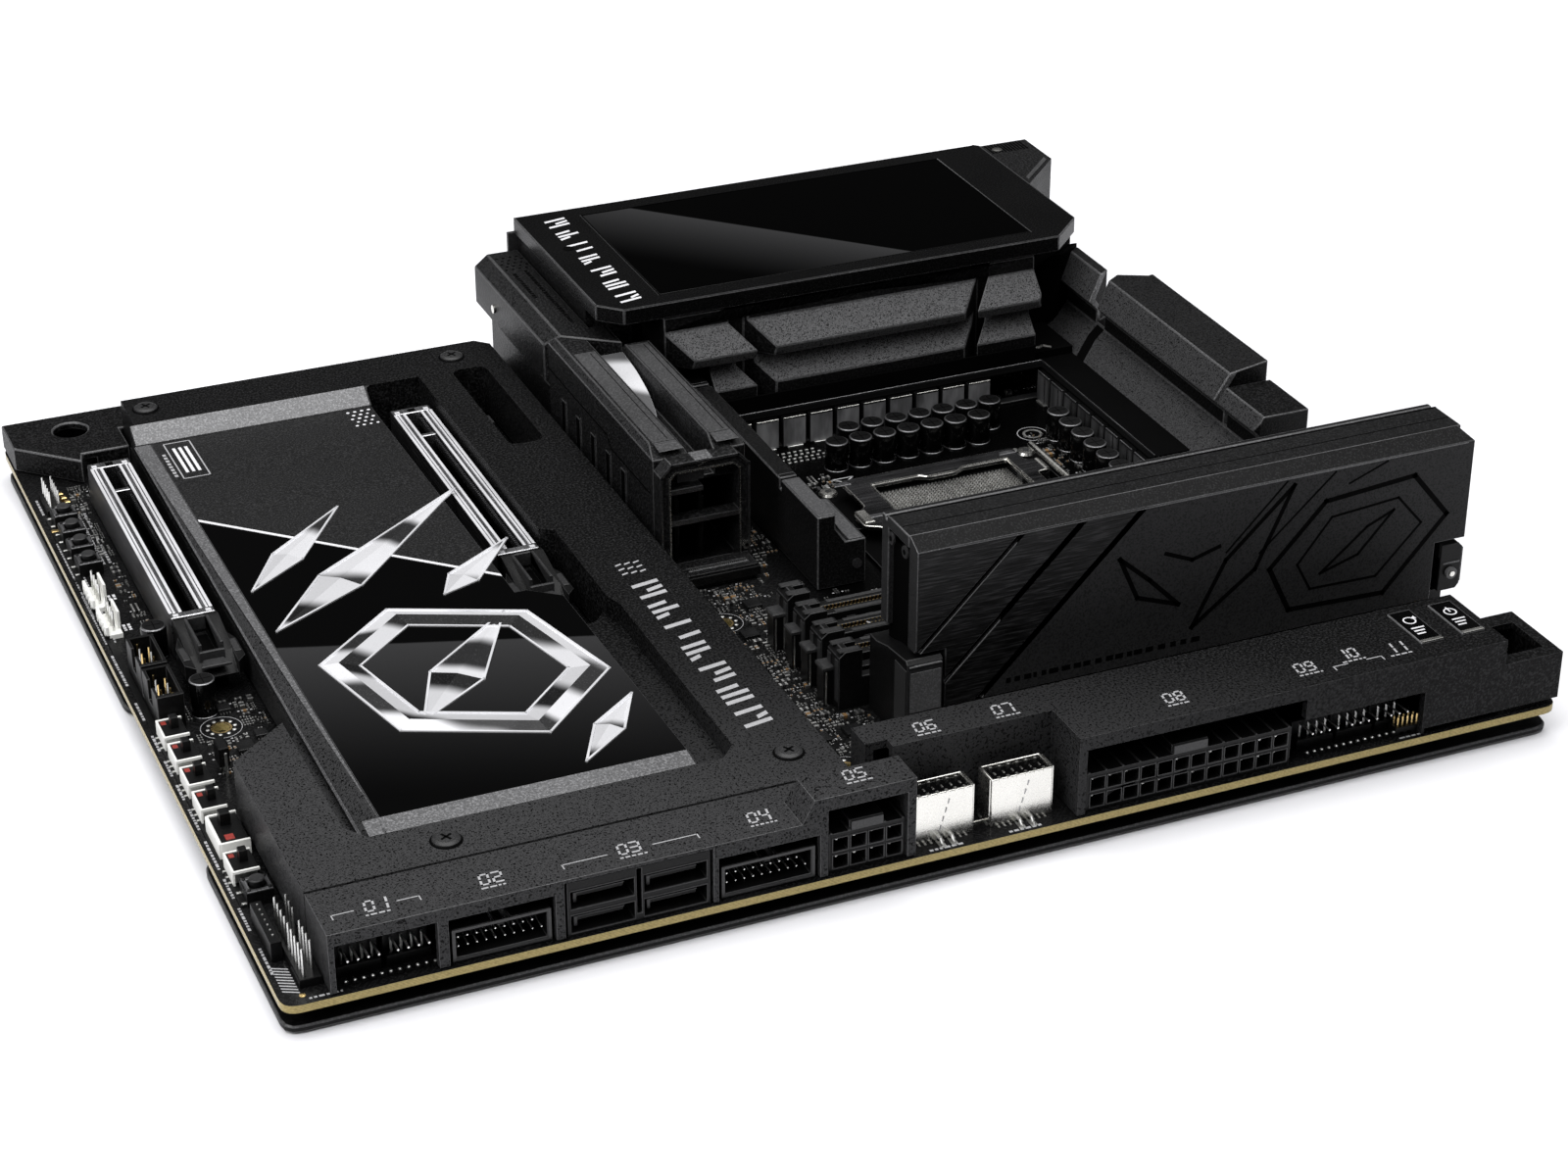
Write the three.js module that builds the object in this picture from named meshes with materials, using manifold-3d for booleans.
// Extended-size desktop computer motherboard with heatsink armour, a display cover, a plug-in
// storage riser and edge-facing connectors. Units are millimetres.
//
// Frame: X runs along the long edge that carries the power connectors, Y points to the rear
// connector edge, Z is up. The origin is the centre of the backplate's flat underside.
// Heights in this file (h) are measured from the top face of the circuit board.

import * as THREE from 'three';
import { mergeVertices } from 'three/addons/utils/BufferGeometryUtils.js';
import Module from 'manifold-3d';

const wasm = await Module();
wasm.setup();

// ---------------------------------------------------------------- driving dimensions

const BOARD_LENGTH = 305;
const BOARD_WIDTH = 277;
const BOARD_THICKNESS = 1.9;
const BOARD_CORNER = 4;
const BACKPLATE_THICKNESS = 1.7;
const BACKPLATE_GAP = 4.3;
const BOARD_TOP = BACKPLATE_THICKNESS + BACKPLATE_GAP + BOARD_THICKNESS;

const HALF_X = BOARD_LENGTH / 2;
const HALF_Y = BOARD_WIDTH / 2;

// Mounting hole grid of the ATX layout, in millimetres from the board centre.
const HOLE_X = [-135.79, -11.33, 146.15];
const HOLE_Y = [-98.99, -26.6, 128.34];
const HOLE_RADIUS = 1.95;

const FIT = 0.3;
const WALL = 2;

// Front connector shroud.
const SHROUD_FRONT = -137.8;
const SHROUD_LOW_TOP = 14.6;
const SHROUD_HIGH_TOP = 20.1;
const SHROUD_STEP_TOP = 13.7;
const SHROUD_LEFT = -142.3;
const SHROUD_SEAM = -12;
const SHROUD_RIGHT = 136.5;

// Chipset armour.
const ARMOR_TOP = 14.7;
const ARMOR_FLOOR = 9;
const ARMOR_UNDERSIDE = 1.4;
const ARMOR_RIGHT = -20.5;
const ARMOR_NEAR = -121;
const PANEL_LEFT = -120;
const PANEL_NEAR = -101;
const PANEL_FAR = 102.2;
const PANEL_NEAR_TOP = 15.3;
const PANEL_FAR_TOP = 11.2;
const PANEL_THICKNESS = 1;
const PANEL_BED = 1.1;

// Expansion slots.
const SLOT_PITCH = 81.28;
const SLOT_1_X = -51.3;
const SLOT_2_X = SLOT_1_X - SLOT_PITCH;
const SLOT_NEAR = 8;
const SLOT_LENGTH = 89;
const SLOT_WIDTH = 11;
const SLOT_HEIGHT = 11.3;

// Memory sockets and riser.
const MEMORY_FIRST_Y = -42.2;
const MEMORY_PITCH = 10;
const MEMORY_LEFT = 3;
const MEMORY_RIGHT = 145;
const MEMORY_WIDTH = 6.6;
const MEMORY_HEIGHT = 8;
const RISER_Y = -87;
const RISER_LEFT = 7;
const RISER_RIGHT = 152;
const RISER_TOP = 51.2;
const RISER_NOTCH_HEIGHT = 23.4;
const RISER_CARD = 1.2;

// Rear cover, display and heatsinks.
const DISPLAY = { left: -6.5, right: 136.5, near: 66.6, far: 138, low: 38.6, top: 43.1 };
const SCREEN = { left: 11.4, right: 120.4, near: 72.4, far: 132 };
const TOWER_TOP = 33.2;
const SOCKET_CENTER = [68, 1];

// ---------------------------------------------------------------- geometry helpers

function outline(points) {
  return new THREE.Shape(points.map(([x, y]) => new THREE.Vector2(x, y)));
}

// Outline with every corner rounded off by a quadratic curve of the given reach.
function softOutline(points, reach) {
  const shape = new THREE.Shape();
  const corners = points.map(([x, y]) => new THREE.Vector2(x, y));
  corners.forEach((corner, i) => {
    const before = corners[(i + corners.length - 1) % corners.length];
    const after = corners[(i + 1) % corners.length];
    const start = corner.clone().add(before.clone().sub(corner).setLength(reach));
    const end = corner.clone().add(after.clone().sub(corner).setLength(reach));
    if (i === 0) shape.moveTo(start.x, start.y);
    else shape.lineTo(start.x, start.y);
    shape.quadraticCurveTo(corner.x, corner.y, end.x, end.y);
  });
  shape.closePath();
  return shape;
}

function rectangle(x0, x1, y0, y1) {
  return [[x0, y0], [x1, y0], [x1, y1], [x0, y1]];
}

function circlePath(x, y, radius) {
  const path = new THREE.Path();
  path.absarc(x, y, radius, 0, 2 * Math.PI, true);
  return path;
}

function extrude(shape, depth, curveSegments = 4) {
  return new THREE.ExtrudeGeometry(shape, { depth, bevelEnabled: false, curveSegments });
}

const toShape = (points) => (Array.isArray(points) ? outline(points) : points);

// Plan outline (x, y) raised from one height to another.
function prismZ(points, low, high, curveSegments) {
  return extrude(toShape(points), high - low, curveSegments).translate(0, 0, low);
}

// Profile (x, h) run along Y from near to far.
const ALONG_Y = new THREE.Matrix4().makeBasis(
  new THREE.Vector3(1, 0, 0),
  new THREE.Vector3(0, 0, 1),
  new THREE.Vector3(0, -1, 0),
);

function prismY(points, near, far, curveSegments) {
  return extrude(toShape(points), far - near, curveSegments).applyMatrix4(ALONG_Y).translate(0, far, 0);
}

// Profile (y, h) run along X from left to right.
const ALONG_X = new THREE.Matrix4().makeBasis(
  new THREE.Vector3(0, 1, 0),
  new THREE.Vector3(0, 0, 1),
  new THREE.Vector3(1, 0, 0),
);

function prismX(points, left, right, curveSegments) {
  return extrude(toShape(points), right - left, curveSegments).applyMatrix4(ALONG_X).translate(left, 0, 0);
}

function block(x0, x1, y0, y1, h0, h1) {
  const geometry = new THREE.BoxGeometry(x1 - x0, y1 - y0, h1 - h0);
  return geometry.translate((x0 + x1) / 2, (y0 + y1) / 2, (h0 + h1) / 2);
}

function post(x, y, radius, low, high, sides = 12) {
  const geometry = new THREE.CylinderGeometry(radius, radius, high - low, sides);
  return geometry.rotateX(Math.PI / 2).translate(x, y, (low + high) / 2);
}

function solidOf(geometry) {
  const bare = geometry.clone();
  bare.deleteAttribute('normal');
  bare.deleteAttribute('uv');
  const merged = mergeVertices(bare, 1e-4);
  const vertProperties = Float32Array.from(merged.attributes.position.array);
  const triVerts = Uint32Array.from(merged.index.array);
  return new wasm.Manifold(new wasm.Mesh({ numProp: 3, vertProperties, triVerts }));
}

function geometryOf(solid) {
  const mesh = solid.getMesh();
  const geometry = new THREE.BufferGeometry();
  geometry.setAttribute('position', new THREE.BufferAttribute(mesh.vertProperties, 3));
  geometry.setIndex(new THREE.BufferAttribute(mesh.triVerts, 1));
  geometry.computeVertexNormals();
  return geometry;
}

function join(...geometries) {
  const solids = geometries.map(solidOf);
  return geometryOf(solids.reduce((sum, solid) => sum.add(solid)));
}

function cut(geometry, ...tools) {
  return geometryOf(tools.map(solidOf).reduce((rest, tool) => rest.subtract(tool), solidOf(geometry)));
}

function common(first, second) {
  return geometryOf(solidOf(first).intersect(solidOf(second)));
}

// Places spaced by a pitch, centred on a middle value.
function spaced(count, pitch, middle = 0) {
  return Array.from({ length: count }, (_, i) => middle + (i - (count - 1) / 2) * pitch);
}

// ---------------------------------------------------------------- scene graph

const motherboard = new THREE.Group();
motherboard.position.z = BOARD_TOP;

const FINISHES = {
  solderMask: [0x0b0b0c, 0.5, 0.1],
  coatedMetal: [0x1b1c1e, 0.55, 0.6],
  darkPlastic: [0x141416, 0.6, 0.0],
  blackPlastic: [0x0c0c0d, 0.5, 0.0],
  glossGlass: [0x050506, 0.08, 0.2],
  steel: [0xa9abad, 0.3, 1.0],
  chrome: [0xd9dadb, 0.1, 1.0],
  capacitor: [0x101012, 0.3, 0.6],
  choke: [0x5b5c5e, 0.45, 0.5],
  contact: [0x8f9092, 0.35, 0.9],
};

function add(name, geometry, finish) {
  const [color, roughness, metalness] = FINISHES[finish];
  const material = new THREE.MeshStandardMaterial({ color, roughness, metalness });
  const mesh = new THREE.Mesh(geometry, material);
  mesh.name = name;
  motherboard.add(mesh);
}

// ---------------------------------------------------------------- board and backplate

function circuitBoard() {
  const shape = softOutline(rectangle(-HALF_X, HALF_X, -HALF_Y, HALF_Y), BOARD_CORNER);
  HOLE_X.forEach((x) => HOLE_Y.forEach((y) => shape.holes.push(circlePath(x, y, HOLE_RADIUS))));
  return prismZ(shape, -BOARD_THICKNESS, 0, 5);
}

// Stiffening plate under the board, held off it by short pillars.
function backplate() {
  const left = 0.3 - HALF_X;
  const right = HALF_X - 0.5;
  const inset = -144;
  const plan = [
    [right, -137], [right, 137], [left, 137], [left, 0], [inset, -4], [inset, -66], [left, -71],
    [left, -137],
  ];
  const low = -BOARD_TOP;
  const plate = prismZ(softOutline(plan, 4), low, low + BACKPLATE_THICKNESS, 3);
  const pillarX = [-120, -30, 30, 125];
  const pillarY = [-110, 20, 110];
  const pillars = pillarX.flatMap((x) =>
    pillarY.map((y) => post(x, y, 3, low + BACKPLATE_THICKNESS / 2, -BOARD_THICKNESS, 8)));
  return join(plate, ...pillars);
}

// ---------------------------------------------------------------- rear connectors and cover

const REAR_SHIELD_Y = [138.7, 139.9];

// Rear ports: centre x, centre height, width, height. They pass through the shield.
const REAR_PORTS = [
  ...[6, 20].map((h) => ({ x: 124, h, w: 9.4, t: 3.6 })),
  ...[109, 92, 75].flatMap((x) => [5, 12.5, 21, 28.5].map((h) => ({ x, h, w: 13.4, t: 5.8 }))),
  ...[56, 38].map((x) => ({ x, h: 24, w: 16, t: 13.4 })),
  ...[56, 38].flatMap((x) => [4.6, 12].map((h) => ({ x, h, w: 13.4, t: 5.8 }))),
  ...[6, 20, 32].map((h) => ({ x: 20, h, w: 8.6, t: 8.6 })),
];
const REAR_BUTTONS = [8, 22].map((h) => ({ x: 139, h }));
const REAR_BUTTON_RADIUS = 2.4;

function rearShield() {
  const [near, far] = REAR_SHIELD_Y;
  const plate = block(-8, 148, near, far, -2.4, 38.3);
  const slack = 0.35;
  const windows = REAR_PORTS.map(({ x, h, w, t }) =>
    block(x - w / 2 - slack, x + w / 2 + slack, near - 1, far + 1, h - t / 2 - slack, h + t / 2 + slack));
  const buttonHoles = REAR_BUTTONS.map(({ x, h }) => {
    const hole = new THREE.CylinderGeometry(REAR_BUTTON_RADIUS + slack, REAR_BUTTON_RADIUS + slack, 4, 12);
    return hole.translate(x, (near + far) / 2, h);
  });
  return cut(plate, ...windows, ...buttonHoles);
}

// One tower of housings per column, standing on a shared foot, with an open mouth for every port.
function rearPortBlock() {
  const near = 116;
  const face = 140.4;
  const back = 138.4;
  const foot = block(13, 133, near, back, 0, 1.2);
  const columns = [...new Set(REAR_PORTS.map((port) => port.x))].map((x) => {
    const ports = REAR_PORTS.filter((port) => port.x === x);
    const half = Math.max(...ports.map((port) => port.w)) / 2;
    const top = Math.max(...ports.map((port) => port.h + port.t / 2));
    return block(x - half, x + half, near, back, 0, top);
  });
  const noses = REAR_PORTS.map(({ x, h, w, t }) =>
    block(x - w / 2, x + w / 2, back - 1, face, h - t / 2, h + t / 2));
  const lip = 0.5;
  const mouths = REAR_PORTS.map(({ x, h, w, t }) =>
    block(x - w / 2 + lip, x + w / 2 - lip, face - 9, face + 1, h - t / 2 + lip, h + t / 2 - lip));
  return cut(join(foot, ...columns, ...noses), ...mouths);
}

function rearButton({ x, h }) {
  const shaft = new THREE.CylinderGeometry(REAR_BUTTON_RADIUS, REAR_BUTTON_RADIUS, 9, 12);
  return shaft.translate(x, 136.6, h);
}

// Shell over the rear connectors, open to the rear and below.
function rearCover() {
  const plan = [[-5, 138.4], [-5, 84.5], [120, 84.5], [137.4, 106.2], [152.3, 121.4], [152.3, 138.4]];
  const inside = [[-3, 139], [-3, 86.5], [119.2, 86.5], [135.6, 107], [150.3, 122.2], [150.3, 139]];
  const top = DISPLAY.low;
  const shell = cut(prismZ(plan, FIT, top), prismZ(inside, FIT - 1, top - WALL));
  const corner = [[137.2, 138.4], [137.2, 106], [152.3, 121.4], [152.3, 138.4]];
  const cap = prismZ(corner, top - WALL, 42.1);
  const sideOpening = block(130, 160, 100, 136, FIT - 1, 21);
  return cut(join(shell, cap), sideOpening);
}

function displayOutline() {
  const { left, right, near, far } = DISPLAY;
  return [
    [left, far], [left, near + 5.8], [left + 5.8, near], [right - 10, near], [right, near + 10],
    [right, far - 1.5], [right - 1.5, far],
  ];
}

function displayBezel() {
  const { left, right, near, far } = SCREEN;
  const recess = block(left, right, near, far, DISPLAY.top - 1.2, DISPLAY.top + 1);
  return cut(prismZ(displayOutline(), DISPLAY.low, DISPLAY.top), recess);
}

function displayScreen() {
  const gap = 0.15;
  return block(
    SCREEN.left + gap, SCREEN.right - gap, SCREEN.near + gap, SCREEN.far - gap,
    DISPLAY.top - 1.2, DISPLAY.top - 0.05,
  );
}

// ---------------------------------------------------------------- storage tower

const TOWER_LEFT = -17.5;
const TOWER_RIGHT = 7;

function towerRearCover() {
  const plan = [[-18.3, 138.3], [-18.3, 81], [-0.8, 68.1], [-0.8, 80.5], [-5.6, 80.5], [-5.6, 138.3]];
  const profile = [
    [-0.8, 0.3], [-0.8, 33.4], [-14.5, 33.4], [-18.3, 30.4], [-18.3, 19.9], [-14, 14.1], [-14, 0.3],
  ];
  const hollow = [
    [-3, -1], [-3, 31.4], [-14, 31.4], [-16.4, 29.5], [-16.4, 20.6], [-12, 14.7], [-12, -1],
  ];
  const hollowPlan = [[-17, 140], [-17, 84], [-8, 77], [-8, 140]];
  const shell = common(prismZ(plan, 0, 40), prismY(profile, 60, 138.3));
  return cut(shell, common(prismZ(hollowPlan, -2, 40), prismY(hollow, 60, 141)));
}

// Two finned ridges with a trough between them, over a row of upright storage cards.
function towerBody() {
  const profile = [
    [TOWER_LEFT, FIT], [TOWER_RIGHT, FIT], [TOWER_RIGHT, 32], [6, TOWER_TOP], [-0.5, TOWER_TOP],
    [-1.3, 31.6], [-1.3, 25], [-8, 25], [-8, 31.6], [-8.8, TOWER_TOP], [-16, TOWER_TOP],
    [TOWER_LEFT, 31.4],
  ];
  const plan = [
    [TOWER_LEFT, 3.4], [TOWER_RIGHT, 3.4], [TOWER_RIGHT, 67.2], [-0.5, 67.2], [TOWER_LEFT, 79.6],
  ];
  const body = common(prismY(profile, 0, 90), prismZ(plan, 0, 40));
  const slope = prismX([[3, 31.2], [3, 40], [10.5, 40], [10.5, 33.4]], -30, 20);
  const mouth = block(-15, 4.5, 0, 30, 1.6, 24);
  const fins = spaced(5, 11, 44).map((y) =>
    block(TOWER_LEFT - 1, TOWER_LEFT + 0.8, y - 0.5, y + 0.5, 6, 20));
  return cut(body, slope, mouth, ...fins);
}

// Polished trim lying in the trough, sinking and narrowing towards the near end.
function towerTrim() {
  const rise = new THREE.Shape();
  rise.moveTo(24, 25.2);
  rise.quadraticCurveTo(44, 30.8, 66, 31.6);
  rise.lineTo(66, 25.2);
  rise.closePath();
  const plan = new THREE.Shape();
  plan.moveTo(-7.8, 24.5);
  plan.quadraticCurveTo(-1.8, 36, -1.6, 66);
  plan.lineTo(-7.8, 66);
  plan.closePath();
  return common(prismX(rise, -8, -1, 5), prismZ(plan, 25.2, 34, 5));
}

// Arch across the tower's near end, carrying two shelves and the storage card socket at its foot.
function towerBracket() {
  const outer = [
    [TOWER_LEFT, FIT], [TOWER_LEFT, 29], [-14.6, 32], [3, 32], [6, 29], [6, FIT],
    [3.6, FIT], [3.6, 28], [2, 29.6], [-13.6, 29.6], [-15.1, 28], [-15.1, FIT],
  ];
  const arch = prismY(outer, -1.6, 3.1);
  const lowShelf = block(-15.5, 4, -1.2, 3.1, 15, 16);
  const highShelf = block(-15.5, -6, -1, 3.1, 23.6, 24.6);
  const cardSocket = block(-14, 5.4, -8.4, -1.2, FIT, 4.2);
  return cut(join(arch, lowShelf, highShelf, cardSocket), block(-12, 3.4, -5.9, -4.7, 1.4, 5));
}

// ---------------------------------------------------------------- power stage heatsinks

function slantedGap(left, right, lean) {
  const plan = [[left, 68], [right, 68], [right + lean, 59.5], [left + lean, 59.5]];
  return prismZ(plan, 2, 38);
}

function rearHeatsink() {
  const upper = [[84.2, 25.1], [84.2, 38.2], [67.3, 38.2], [67, 34.1], [60.8, 27.7], [61.4, 25.1]];
  const lower = [
    [84.2, 2.5], [84.2, 26], [66.2, 26], [65.4, 22.1], [60.9, 17.6], [61.2, 9.9], [68, 9.9], [68, 2.5],
  ];
  const upperPlan = [[10.6, 84.2], [10.6, 67], [19, 58.6], [116, 58.6], [119.4, 62], [119.4, 84.2]];
  const body = join(
    common(prismX(upper, 0, 130), prismZ(upperPlan, 20, 40)),
    prismX(lower, 22.5, 117.5),
  );
  return cut(body, slantedGap(28, 33.4, 8), slantedGap(102.4, 106, -8));
}

const SIDE_PROFILE = [
  [150.3, 1.5], [150.3, 32.1], [139, 30.3], [134.5, 23.5], [138, 20], [138, 15.8], [134.4, 14.1],
  [129.5, 9.1], [129.5, 4.2], [134, 4.2], [134, 1.5],
];

// Heatsink along the right edge: a low rail and three raised blocks with slanted ends.
function sideHeatsink() {
  const whole = prismY(SIDE_PROFILE, -27, 84);
  const behindRear = prismZ([[141.8, 62.6], [141.8, 90], [160, 90], [160, 56], [149, 56]], 0, 60);
  const gap = prismZ([[120, 51], [160, 70.5], [160, 75], [120, 55.6]], 16.5, 60);
  const lowered = prismZ([[120, -6], [160, -6], [160, -40], [120, -40]], 27.4, 60);
  const slit = prismZ([[120, -7.6], [160, -7.6], [160, -6], [120, -6]], 16.5, 60);
  const corner = prismZ([[120, -17], [138, -28], [120, -28]], 0, 60);
  return cut(whole, behindRear, gap, lowered, slit, corner);
}

// Heatsink bar beside the processor socket, with a wider stepped end.
function socketRail() {
  const rail = block(16, 20.8, 2.6, 82, FIT, 20.4);
  const end = prismY([
    [16, FIT], [29, FIT], [29, 12.5], [23.5, 12.5], [20.8, 16.5], [20.8, 20.4], [16, 20.4],
  ], -21, 2.6);
  const grooves = [block(15, 30, 1.8, 2.8, 17.6, 22), block(15, 22, 60, 61.2, 19, 22)];
  return cut(join(rail, end), ...grooves);
}

// ---------------------------------------------------------------- power stage components

const CHOKE_HEIGHT = 8.8;
const CHOKE_SIZE = 6.4;
const CHOKE_PITCH = 7.85;

function chokeBank() {
  const rear = spaced(10, CHOKE_PITCH, 62.8).map((x) =>
    block(x - CHOKE_SIZE / 2, x + CHOKE_SIZE / 2, 56.2, 60.6, 0, CHOKE_HEIGHT));
  const side = spaced(8, CHOKE_PITCH, 25.7).map((y) =>
    block(116.3, 122.3, y - CHOKE_SIZE / 2, y + CHOKE_SIZE / 2, 0, CHOKE_HEIGHT));
  const strip = block(26, 121, 57, 60, 0, 0.6);
  const arm = block(118, 121, -4, 60, 0, 0.6);
  return join(strip, arm, ...rear, ...side);
}

const CAPACITOR_RADIUS = 3.15;
const CAPACITOR_HEIGHT = 8.1;

function capacitorBank() {
  const front = spaced(7, 6.95, 69).map((x) => [x, 39.7]);
  const back = spaced(7, 6.95, 75.6).map((x) => [x, 46.8]);
  const side = spaced(6, 7, 15.5).map((y) => [110.3, y]);
  const cans = [...front, ...back, ...side].map(([x, y]) =>
    post(x, y, CAPACITOR_RADIUS, 0, CAPACITOR_HEIGHT, 12));
  const strip = block(46, 112, 38.5, 48, 0, 0.6);
  const arm = block(109, 112, -3, 48, 0, 0.6);
  return join(strip, arm, ...cans);
}

// ---------------------------------------------------------------- processor socket

const LOAD_HINGE_X = SOCKET_CENTER[0] + 26.5;
const LEVER_AXLE_X = SOCKET_CENTER[0] + 29.5;
const LEVER_H = 4.6;

function processorSocket() {
  const [x, y] = SOCKET_CENTER;
  const frame = prismZ(softOutline(rectangle(x - 33, x + 33, y - 28, y + 27), 4), 0, 1);
  const body = block(x - 22.5, x + 22.5, y - 20, y + 20, 0, 3.4);
  const field = block(x - 20.5, x + 20.5, y - 18, y + 18, 1.9, 5);
  const saddle = block(LEVER_AXLE_X - 1, LEVER_AXLE_X + 1, y - 10, y + 10, 0, LEVER_H - 1.1);
  const stud = post(x - 30.5, y, 2.2, 0, 3.6, 12);
  return cut(join(frame, body, saddle, stud), field);
}

// Load frame hinged by two lugs at its right end, with a window over the contact field.
function loadFrame() {
  const [x, y] = SOCKET_CENTER;
  const lug = LOAD_HINGE_X + 0.9;
  const plan = softOutline([
    [x - 26.5, y - 22], [x + 23.5, y - 22], [x + 23.5, y - 14], [lug, y - 14], [lug, y - 7],
    [x + 23.5, y - 7], [x + 23.5, y + 7], [lug, y + 7], [lug, y + 14], [x + 23.5, y + 14],
    [x + 23.5, y + 22], [x - 26.5, y + 22], [x - 26.5, y + 6], [x - 31, y + 3.5],
    [x - 31, y - 3.5], [x - 26.5, y - 6],
  ], 1.2);
  const window = new THREE.Path(softOutline([
    [x - 19.5, y - 16], [x - 6, y - 16], [x - 4, y - 17.5], [x + 4, y - 17.5], [x + 6, y - 16],
    [x + 19, y - 16], [x + 19, y + 16.5], [x + 6, y + 16.5], [x + 4, y + 15], [x - 4, y + 15],
    [x - 6, y + 16.5], [x - 19.5, y + 16.5],
  ], 0.9).getPoints(2));
  plan.holes.push(window);
  return prismZ(plan, 4, 5.2, 2);
}

// Bent wire lever: an axle across the socket and an arm along its near side.
function socketLever() {
  const [x, y] = SOCKET_CENTER;
  const radius = 0.9;
  const path = new THREE.CurvePath();
  const corners = [
    [LEVER_AXLE_X, y + 23], [LEVER_AXLE_X, y - 25.5], [x - 34, y - 25.5], [x - 36.5, y - 30],
  ].map(([px, py]) => new THREE.Vector3(px, py, LEVER_H));
  corners.slice(1).forEach((end, i) => path.add(new THREE.LineCurve3(corners[i], end)));
  const rods = corners.slice(1).map((end, i) => {
    const start = corners[i];
    const along = end.clone().sub(start);
    const rod = new THREE.CylinderGeometry(radius, radius, along.length(), 8);
    const turn = new THREE.Quaternion().setFromUnitVectors(new THREE.Vector3(0, 1, 0), along.normalize());
    const middle = start.clone().add(end).multiplyScalar(0.5);
    return rod.applyQuaternion(turn).translate(middle.x, middle.y, middle.z);
  });
  const elbows = corners.slice(1, 3).map((corner) =>
    new THREE.SphereGeometry(radius * 1.05, 8, 6).translate(corner.x, corner.y, corner.z));
  return join(...rods, ...elbows);
}

// ---------------------------------------------------------------- memory sockets and riser

const LATCH_PIVOT = [MEMORY_RIGHT + 3, 3];

function memorySocket(y) {
  const half = MEMORY_WIDTH / 2;
  const body = block(MEMORY_LEFT, MEMORY_RIGHT, y - half, y + half, 0, MEMORY_HEIGHT);
  const endTower = prismY([[-2.6, 0], [-2.6, 13.8], [-1, 15.1], [3.4, 15.1], [3.4, 0]], y - half, y + half);
  const cheeks = [-1, 1].map((side) => {
    const inner = y + side * 2.15;
    const outer = y + side * half;
    const [low, high] = side < 0 ? [outer, inner] : [inner, outer];
    return block(MEMORY_RIGHT - 1, MEMORY_RIGHT + 6, low, high, 0, 7);
  });
  const groove = block(MEMORY_LEFT + 4, MEMORY_RIGHT - 4, y - 0.9, y + 0.9, 3, MEMORY_HEIGHT + 1);
  const key = block(78, 80.4, y - 0.9, y + 0.9, 3, MEMORY_HEIGHT - 1);
  const endGroove = block(0.4, MEMORY_LEFT + 5, y - 0.9, y + 0.9, 5, 20);
  return join(cut(join(body, endTower, ...cheeks), groove, endGroove), key);
}

// Swinging end latch of a memory socket, round at its foot so that it can turn in place.
function memoryLatch(y) {
  const [px, ph] = LATCH_PIVOT;
  const profile = new THREE.Shape();
  profile.absarc(px, ph, 1.8, Math.PI, 2 * Math.PI, false);
  profile.lineTo(px + 1.8, 11);
  profile.lineTo(px + 4.2, 14.6);
  profile.lineTo(px + 4.2, 16.2);
  profile.lineTo(px - 0.2, 15);
  profile.lineTo(px - 1.8, 11.4);
  profile.closePath();
  return prismY(profile, y - 1.8, y + 1.8, 5);
}

function riserSocket() {
  const half = MEMORY_WIDTH / 2;
  const y = RISER_Y;
  const body = block(14, MEMORY_RIGHT, y - half, y + half, 0, MEMORY_HEIGHT);
  const cheeks = [[y - half, y - 2.15], [y + 2.15, y + half]].map(([low, high]) =>
    block(MEMORY_RIGHT - 1, MEMORY_RIGHT + 6, low, high, 0, 7));
  const groove = block(16, MEMORY_RIGHT - 2, y - 0.9, y + 0.9, 3, MEMORY_HEIGHT + 1);
  return cut(join(body, ...cheeks), groove);
}

// Wide end latch of the riser socket: the same swinging foot under a broad block.
function riserLatch() {
  const [px] = LATCH_PIVOT;
  const stem = memoryLatch(RISER_Y);
  const profile = [
    [px - 1.8, 9.4], [px + 3.2, 9.4], [px + 4.2, 10.6], [px + 4.2, 20.6], [px + 3, 21.8], [px - 1.8, 21.8],
  ];
  return join(stem, prismY(profile, RISER_Y - 8.4, RISER_Y + 7));
}

// Guide post that carries the left end of the riser card.
function riserGuide() {
  const profile = [
    [-76.5, 0], [-96.8, 0], [-96.8, 21.6], [-95.8, 22.4], [-86, 21.2], [-80, 19.5], [-76.5, 19.5],
  ];
  const guide = prismX(profile, 4.6, 13.4);
  const groove = block(9.4, 15, RISER_Y - 1, RISER_Y + 1, 4, 30);
  return cut(guide, groove);
}

function riserCard() {
  const half = RISER_CARD / 2;
  const outlineXZ = [
    [16.6, 3.4], [142.4, 3.4], [142.4, 8.6], [144.6, 8.6], [144.6, 47], [10, 47], [10, 8.6], [16.6, 8.6],
  ];
  return prismY(outlineXZ, RISER_Y - half, RISER_Y + half);
}

// Front cover plate of the riser: bevelled top, notched lower corners, three slanted grooves.
function riserFront() {
  const face = -96;
  const inner = -91.6;
  const section = [[inner, 8.4], [inner, RISER_TOP + 0.4], [face, 49.2], [face, 8.4]];
  const notchedFace = [
    [14.4, 8.4], [143.6, 8.4], [143.6, RISER_NOTCH_HEIGHT], [RISER_RIGHT, RISER_NOTCH_HEIGHT],
    [RISER_RIGHT, 49], [RISER_RIGHT - 3, 52], [RISER_LEFT, 52], [RISER_LEFT, RISER_NOTCH_HEIGHT],
    [14.4, RISER_NOTCH_HEIGHT],
  ];
  const plate = common(prismX(section, 0, 160), prismY(notchedFace, -100, -80));
  const grooves = [32, 47.4, 62.8].map((top) => {
    const foot = top - 44;
    const band = [[foot, 5], [foot + 1.6, 5], [top + 1.6, 49], [top, 49]];
    return prismY(band, face - 1, face + 0.8);
  });
  return cut(plate, ...grooves);
}

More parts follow.
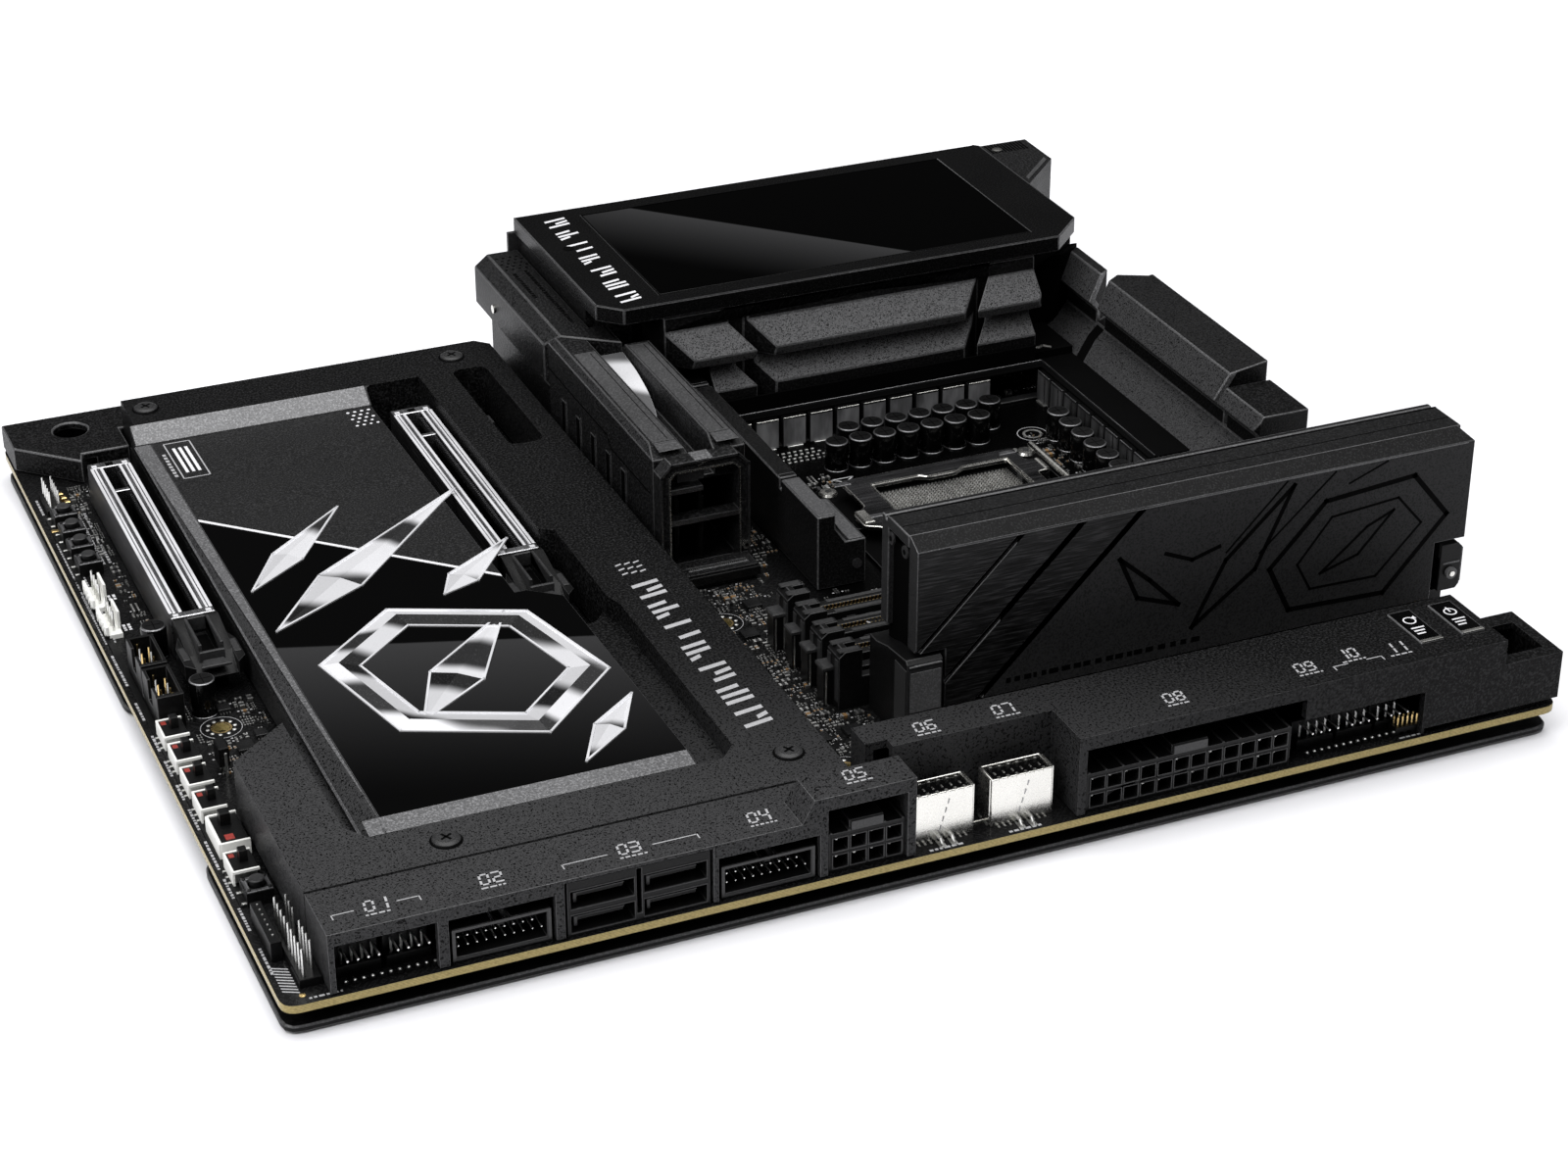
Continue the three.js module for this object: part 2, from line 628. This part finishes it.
// Rear cover plate of the riser with the flat spine that closes the top.
function riserBack() {
  const section = [
    [-77, 23.4], [-77, RISER_TOP - 0.6], [-78.6, RISER_TOP - 0.6], [-79, RISER_TOP - 1.4],
    [-79.6, RISER_TOP - 1.4], [-80, RISER_TOP], [-91.2, RISER_TOP], [-91.2, 48.2], [-80.6, 48.2],
    [-80.6, 23.4],
  ];
  const face = [[RISER_LEFT, 23], [RISER_RIGHT - 1, 23], [RISER_RIGHT - 1, 52], [RISER_LEFT, 52]];
  return common(prismX(section, 0, 160), prismY(face, -100, -70));
}

// ---------------------------------------------------------------- expansion slots

function expansionSlot(x) {
  const half = SLOT_WIDTH / 2;
  const far = SLOT_NEAR + SLOT_LENGTH;
  const body = block(x - half, x + half, SLOT_NEAR, far, 0, SLOT_HEIGHT);
  const groove = block(x - 1.6, x + 1.6, SLOT_NEAR + 2, far - 3, 2.5, SLOT_HEIGHT + 1);
  const key = block(x - 2, x + 2, far - 15.4, far - 13.6, 1, SLOT_HEIGHT - 1);
  return join(cut(body, groove), key);
}

// Card retention latch: a hooked lever that rocks on a pin across the slot's end.
const CARD_LATCH_PIVOT = [SLOT_NEAR - 4, 3.4];

function cardLatch(x) {
  const [py, ph] = CARD_LATCH_PIVOT;
  const profile = new THREE.Shape();
  profile.absarc(py, ph, 2.4, Math.PI, 1.9 * Math.PI, false);
  profile.lineTo(py + 3, 8.6);
  profile.lineTo(py + 3.4, 11.6);
  profile.lineTo(py + 1, 12);
  profile.lineTo(py - 12, 9);
  profile.lineTo(py - 16.6, 5.4);
  profile.lineTo(py - 16, 4.6);
  profile.lineTo(py - 6, 6.2);
  profile.closePath();
  const lever = prismX(profile, x - 5.4, x + 5.4, 4);
  const wings = [-1, 1].map((side) => {
    const inner = x + side * 5;
    const outer = x + side * 7.2;
    const plan = [[inner, -14], [outer, -11.5], [outer, -3], [inner, 3.4]];
    return prismZ(side < 0 ? plan.reverse() : plan, 5.4, 9.2);
  });
  const dish = block(x - 2.2, x + 2.2, -9, py + 8, 7, 14);
  return cut(join(lever, ...wings), dish);
}

// ---------------------------------------------------------------- chipset armour

const ARMOR_OUTLINE = [
  [-122.5, 124], [-24, 124], [ARMOR_RIGHT, 120.5], [ARMOR_RIGHT, ARMOR_NEAR], [-142.3, ARMOR_NEAR],
  [-142.3, -66], [-125.5, -52], [-124.4, -50], [-124.4, 107], [-122.5, 107],
];

const SLOT_OPENING = [
  [-60, 107.5], [-45, 107.5], [-45, 11], [-41.5, 9], [-41.5, -25], [-45, -29], [-50, -29],
  [-50, -21], [-57, -15], [-60, -15],
];

// Height of the panel's upper face at a given y.
function panelTop(y) {
  const share = (y - PANEL_NEAR) / (PANEL_FAR - PANEL_NEAR);
  return PANEL_NEAR_TOP + share * (PANEL_FAR_TOP - PANEL_NEAR_TOP);
}

function chipsetArmor() {
  const trench = [
    [-160, 107.5], [-160, -49], [-126.5, -49], [-128, -54], [-128, -101], [-124, -106.5],
    [-44, -106.5], [-40, -102], [-40, -33], [-41.5, -28], [-41.5, 9], [-45, 11], [-45, 107.5],
  ];
  const plateau = cut(prismZ(ARMOR_OUTLINE, ARMOR_FLOOR - 1, ARMOR_TOP), prismZ(trench, 5, 20));
  const floor = prismZ(ARMOR_OUTLINE, ARMOR_UNDERSIDE, ARMOR_FLOOR);
  const low = ARMOR_FLOOR - 1;
  const bed = prismX([
    [-106.6, low], [107.6, low], [107.6, ARMOR_TOP], [PANEL_FAR + FIT, PANEL_FAR_TOP],
    [PANEL_FAR + FIT, PANEL_FAR_TOP - PANEL_BED], [PANEL_NEAR - FIT, PANEL_NEAR_TOP - PANEL_BED],
    [PANEL_NEAR - FIT, PANEL_NEAR_TOP], [-106.6, ARMOR_TOP],
  ], -124, -50);
  const leftTrim = prismX([
    [-106.6, low], [107.6, low], [107.6, ARMOR_TOP], [PANEL_FAR, PANEL_FAR_TOP],
    [PANEL_NEAR, PANEL_NEAR_TOP], [-106.6, ARMOR_TOP],
  ], -124, PANEL_LEFT - FIT);
  const trimSlope = prismY([[-124.3, 11.2], [PANEL_LEFT - FIT - 0.4, 15.4], [-124.3, 15.4]], -120, 102);
  const raised = cut(join(bed, leftTrim), trimSlope);
  const sideWindow = softOutline(rectangle(-36, -26.5, 58, 107.5), 2.5);
  const under = block(-118, -64, -98, 98, 0, 7);
  return cut(
    join(plateau, floor, raised),
    prismZ(softOutline(SLOT_OPENING, 1.2), 0, 20, 2),
    prismZ(sideWindow, 0, 20, 2),
    under,
  );
}

function armorPanel() {
  const slab = prismX([
    [PANEL_NEAR, PANEL_NEAR_TOP - PANEL_THICKNESS], [PANEL_FAR, PANEL_FAR_TOP - PANEL_THICKNESS],
    [PANEL_FAR, PANEL_FAR_TOP], [PANEL_NEAR, PANEL_NEAR_TOP],
  ], PANEL_LEFT, -50);
  const plan = [
    [PANEL_LEFT, 110], [PANEL_LEFT, -110], [-50.2, -110], [-50.2, -21.6], [-57.4, -15.4],
    [-60.3, -15.4], [-60.3, 110],
  ];
  return common(slab, prismZ(plan, 5, 20));
}

// Low cover over the rear left corner, running behind the armour to the storage tower.
function cornerCover() {
  const plan = [
    [-152.2, 138.2], [-152.2, 123], [-137, 108.5], [-136, 113], [-123.4, 113], [-123.4, 124.6],
    [-20, 124.6], [-20, 138.2],
  ];
  const inside = [
    [-150.4, 136.4], [-150.4, 124], [-137.6, 111.6], [-125.2, 115], [-125.2, 126.4], [-22, 126.4],
    [-22, 136.4],
  ];
  const shell = cut(prismZ(plan, FIT, 6.8), prismZ(inside, FIT - 1, 4.8));
  return cut(shell, post(HOLE_X[0], HOLE_Y[2], 4.6, -1, 8, 16));
}

// ---------------------------------------------------------------- front shroud

const LOW_WINDOWS = [
  { x0: -141, x1: -119.3, h0: -1, h1: 11.6 },
  { x0: -117, x1: -94, h0: -1, h1: 11.4 },
  { x0: -92, x1: -59, h0: -1, h1: 13.8 },
  { x0: -57.8, x1: -34.6, h0: -1, h1: 11 },
  { x0: -32.8, x1: -14.2, h0: -1, h1: 16.6 },
];
const HIGH_WINDOWS = [
  { x0: 28.8, x1: 84, h0: -1, h1: 16.7 },
  { x0: 84, x1: 115.4, h0: -1, h1: 11.4 },
];

function windowCut({ x0, x1, h0, h1 }) {
  return block(x0, x1, SHROUD_FRONT - 1, SHROUD_FRONT + 3, h0, h1);
}

function lowShroud() {
  const right = SHROUD_SEAM - 0.2;
  const face = [
    [SHROUD_LEFT, FIT], [right, FIT], [right, SHROUD_HIGH_TOP - 0.2], [-36, SHROUD_HIGH_TOP - 0.2],
    [-38.8, SHROUD_LOW_TOP], [SHROUD_LEFT, SHROUD_LOW_TOP],
  ];
  const body = prismY(face, SHROUD_FRONT, -121.6);
  const hollow = block(SHROUD_LEFT + 1.3, right - 1.8, SHROUD_FRONT + WALL, -123.4, -1, 12.8);
  const auxHollow = block(-32.8, right - 1.8, SHROUD_FRONT + WALL, -129.6, -1, 17.6);
  const behindAux = block(-40, right + 1, -128, -120, SHROUD_LOW_TOP, 30);
  return cut(body, hollow, auxHollow, behindAux, ...LOW_WINDOWS.map(windowCut));
}

const START_BUTTON_X = 131.5;
const RESET_BUTTON_X = 120.5;
const BUTTON_SIZE = [6.2, 14.8];
const BUTTON_Y = -124;

function highShroud() {
  const far = -114;
  const bay = -124.5;
  const plan = [
    [-17, far], [-17, -121.4], [SHROUD_SEAM + 0.2, -121.4], [SHROUD_SEAM + 0.2, bay], [26.8, bay],
    [26.8, SHROUD_FRONT], [SHROUD_RIGHT, SHROUD_FRONT], [SHROUD_RIGHT, far],
  ];
  const main = prismZ(plan, FIT, SHROUD_HIGH_TOP);
  const step = block(SHROUD_RIGHT - 1, 152.3, SHROUD_FRONT, -117, 1.6, SHROUD_STEP_TOP);
  const hollows = [
    block(28.8, SHROUD_RIGHT - WALL, SHROUD_FRONT + WALL, far - WALL, -1, SHROUD_HIGH_TOP - WALL),
    block(-15, 30, bay + WALL, far - WALL, -1, SHROUD_HIGH_TOP - WALL),
    block(138, 150.5, SHROUD_FRONT + WALL, -118.8, -1, SHROUD_STEP_TOP - 1.6),
    block(140, 149.4, -134, -121.5, 5, 30),
  ];
  const slack = 0.3;
  const buttonHoles = [START_BUTTON_X, RESET_BUTTON_X].map((x) => block(
    x - BUTTON_SIZE[0] / 2 - slack, x + BUTTON_SIZE[0] / 2 + slack,
    BUTTON_Y - BUTTON_SIZE[1] / 2 - slack, BUTTON_Y + BUTTON_SIZE[1] / 2 + slack, 15, 30,
  ));
  const skirtGap = block(116, 160, SHROUD_FRONT - 1, SHROUD_FRONT + 3, -1, 1.6);
  return cut(join(main, step), ...hollows, ...buttonHoles, ...HIGH_WINDOWS.map(windowCut), skirtGap);
}

function topButton(x) {
  const [w, d] = BUTTON_SIZE;
  return block(x - w / 2, x + w / 2, BUTTON_Y - d / 2, BUTTON_Y + d / 2, 16.6, SHROUD_HIGH_TOP + 0.25);
}

// ---------------------------------------------------------------- edge connectors

const CONNECTOR_FACE = -136.8;
const POWER_PITCH = 4.2;

function powerSocket(middle, columns, latchWidth) {
  const half = (columns * POWER_PITCH + 1.2) / 2;
  const height = 9.8;
  const body = block(middle - half, middle + half, CONNECTOR_FACE, -124, 0, height);
  const [latchLeft, latchRight] = [middle - latchWidth / 2, middle + latchWidth / 2];
  const latch = block(latchLeft, latchRight, CONNECTOR_FACE + 0.6, -128, height - 1, 12);
  const cells = spaced(columns, POWER_PITCH, middle).flatMap((x) =>
    [2.75, 7].map((h) => block(x - 1.75, x + 1.75, CONNECTOR_FACE - 1, -128.6, h - 1.75, h + 1.75)));
  return cut(join(body, latch), ...cells);
}

function driveSocketStack() {
  const left = -91.4;
  const right = -59.6;
  const body = block(left, right, CONNECTOR_FACE - 0.6, -124, 0, 12.4);
  const crown = block(left, right, CONNECTOR_FACE - 0.6, -136, 12, 13.5);
  const middle = (left + right) / 2;
  const mouths = [middle - 8.1, middle + 8.1].flatMap((x) =>
    [3.1, 9].map((h) => block(x - 7, x + 7, CONNECTOR_FACE - 2, -130.5, h - 2.2, h + 2.2)));
  const tongues = [middle - 8.1, middle + 8.1].flatMap((x) =>
    [3.1, 9].map((h) => block(x - 5.2, x + 5.2, -135.6, -130, h - 0.5, h + 0.5)));
  const divider = block(middle - 0.5, middle + 0.5, CONNECTOR_FACE - 2, -131, 2, 13);
  return join(cut(join(body, crown), ...mouths, divider), ...tongues);
}

function ribbonSocket(middle) {
  const half = 10.7;
  const body = block(middle - half, middle + half, CONNECTOR_FACE, -128, 0, 8.2);
  const mouth = block(middle - half + 0.9, middle + half - 0.9, CONNECTOR_FACE - 1, -130, 1.3, 7.3);
  const keyway = block(middle - 2, middle + 2, CONNECTOR_FACE - 1, -131, 7, 9);
  return cut(body, mouth, keyway);
}

function shieldedSocketPair() {
  const shells = [-4.2, 15].map((x) => {
    const shell = block(x - 7.4, x + 7.4, -134, -127.4, 0, 12);
    return cut(shell, block(x - 6.8, x + 6.8, -133.4, -128, 1.2, 13));
  });
  const cores = [-4.2, 15].map((x) => block(x - 6.9, x + 6.9, -131.8, -129.8, 1, 10.8));
  const tie = block(-11, 22, -131, -130.4, 0, 0.4);
  return join(...shells, ...cores, tie);
}

function processorPowerPair() {
  const sockets = [73.8, 94.4].map((y) => {
    const body = block(142.6, 152, y - 9, y + 9, 0, 12.6);
    const cells = spaced(4, POWER_PITCH, y).flatMap((cy) =>
      [145.2, 149.4].map((x) => block(x - 1.75, x + 1.75, cy - 1.75, cy + 1.75, 4, 14)));
    return cut(body, ...cells);
  });
  return join(...sockets, block(144, 151, 82, 86.4, 0, 0.8));
}

// ---------------------------------------------------------------- left edge components

function boxHeaderPair() {
  const left = -149.2;
  const right = -142.8;
  const body = block(left, right, -22.8, 7.3, 0, 1.2);
  const boxes = [[-7, 7.3], [-22.8, -8.3]].map(([near, far]) => {
    const shell = block(left, right, near, far, 0, 8.8);
    const notch = block(left - 1, left + 2, (near + far) / 2 - 2, (near + far) / 2 + 2, 3.5, 10);
    return cut(shell, block(left + 0.8, right - 0.8, near + 0.8, far - 0.8, 1.4, 10), notch);
  });
  return join(body, ...boxes);
}

const TACT_PLACES = [[-146.4, 89], [-146.4, 79.6], [-146.4, 70.2], [-146.4, 60.8], [-146.4, -97.4]];

// Housings of the five push switches and the slide switches, tied by a thin strip.
function switchBank() {
  const strip = block(-150.8, -149.3, -100, 92, 0, 0.4);
  const cases = TACT_PLACES.map(([x, y]) => cut(
    block(-149.5, x + 2.9, y - 3.1, y + 3.1, 0, 3.4),
    post(x, y, 2, 1.9, 5, 12),
  ));
  const slides = [...spaced(4, 11, -44.8), -88].map((y) => block(-149.5, -144.4, y - 4, y + 4, 0, 3.4));
  const selector = block(-149.5, -143.4, -80.6, -69, 0, 3.6);
  return join(strip, ...cases, ...slides, selector);
}

function tactButton([x, y]) {
  return post(x, y, 1.7, 2.4, 4.9, 12);
}

// ---------------------------------------------------------------- assembly

add('circuit_board', circuitBoard(), 'solderMask');
add('backplate', backplate(), 'coatedMetal');

add('rear_shield', rearShield(), 'steel');
add('rear_port_block', rearPortBlock(), 'blackPlastic');
add('rear_button_1', rearButton(REAR_BUTTONS[0]), 'blackPlastic');
add('rear_button_2', rearButton(REAR_BUTTONS[1]), 'blackPlastic');
add('rear_cover', rearCover(), 'coatedMetal');
add('display_bezel', displayBezel(), 'coatedMetal');
add('display_screen', displayScreen(), 'glossGlass');

add('tower_rear_cover', towerRearCover(), 'coatedMetal');
add('tower_body', towerBody(), 'coatedMetal');
add('tower_trim', towerTrim(), 'chrome');
add('tower_bracket', towerBracket(), 'blackPlastic');

add('rear_heatsink', rearHeatsink(), 'coatedMetal');
add('side_heatsink', sideHeatsink(), 'coatedMetal');
add('socket_rail', socketRail(), 'coatedMetal');
add('choke_bank', chokeBank(), 'choke');
add('capacitor_bank', capacitorBank(), 'capacitor');

add('processor_socket', processorSocket(), 'contact');
add('load_frame', loadFrame(), 'steel');
add('socket_lever', socketLever(), 'steel');

for (let i = 0; i < 4; i += 1) {
  const y = MEMORY_FIRST_Y - i * MEMORY_PITCH;
  add(`memory_socket_${i + 1}`, memorySocket(y), 'blackPlastic');
  add(`memory_latch_${i + 1}`, memoryLatch(y), 'blackPlastic');
}

add('riser_socket', riserSocket(), 'blackPlastic');
add('riser_guide', riserGuide(), 'darkPlastic');
add('riser_latch', riserLatch(), 'darkPlastic');
add('riser_card', riserCard(), 'solderMask');
add('riser_front_plate', riserFront(), 'coatedMetal');
add('riser_back_plate', riserBack(), 'coatedMetal');

add('expansion_slot_1', expansionSlot(SLOT_1_X), 'steel');
add('expansion_slot_2', expansionSlot(SLOT_2_X), 'steel');
add('card_latch_1', cardLatch(SLOT_1_X), 'darkPlastic');
add('card_latch_2', cardLatch(SLOT_2_X), 'darkPlastic');

add('chipset_armor', chipsetArmor(), 'coatedMetal');
add('armor_panel', armorPanel(), 'glossGlass');
add('corner_cover', cornerCover(), 'coatedMetal');

add('front_shroud_low', lowShroud(), 'darkPlastic');
add('front_shroud_high', highShroud(), 'darkPlastic');
add('start_button', topButton(START_BUTTON_X), 'blackPlastic');
add('reset_button', topButton(RESET_BUTTON_X), 'blackPlastic');

add('main_power_socket', powerSocket(55.2, 12, 9), 'blackPlastic');
add('aux_power_socket', powerSocket(-23.3, 4, 8), 'blackPlastic');
add('drive_socket_stack', driveSocketStack(), 'blackPlastic');
add('ribbon_socket_1', ribbonSocket(-105.5), 'blackPlastic');
add('ribbon_socket_2', ribbonSocket(-46.2), 'blackPlastic');
add('shielded_socket_pair', shieldedSocketPair(), 'steel');
add('processor_power_pair', processorPowerPair(), 'blackPlastic');

add('box_header_pair', boxHeaderPair(), 'blackPlastic');
add('switch_bank', switchBank(), 'blackPlastic');
TACT_PLACES.forEach((place, i) => add(`push_button_${i + 1}`, tactButton(place), 'blackPlastic'));

export default motherboard;
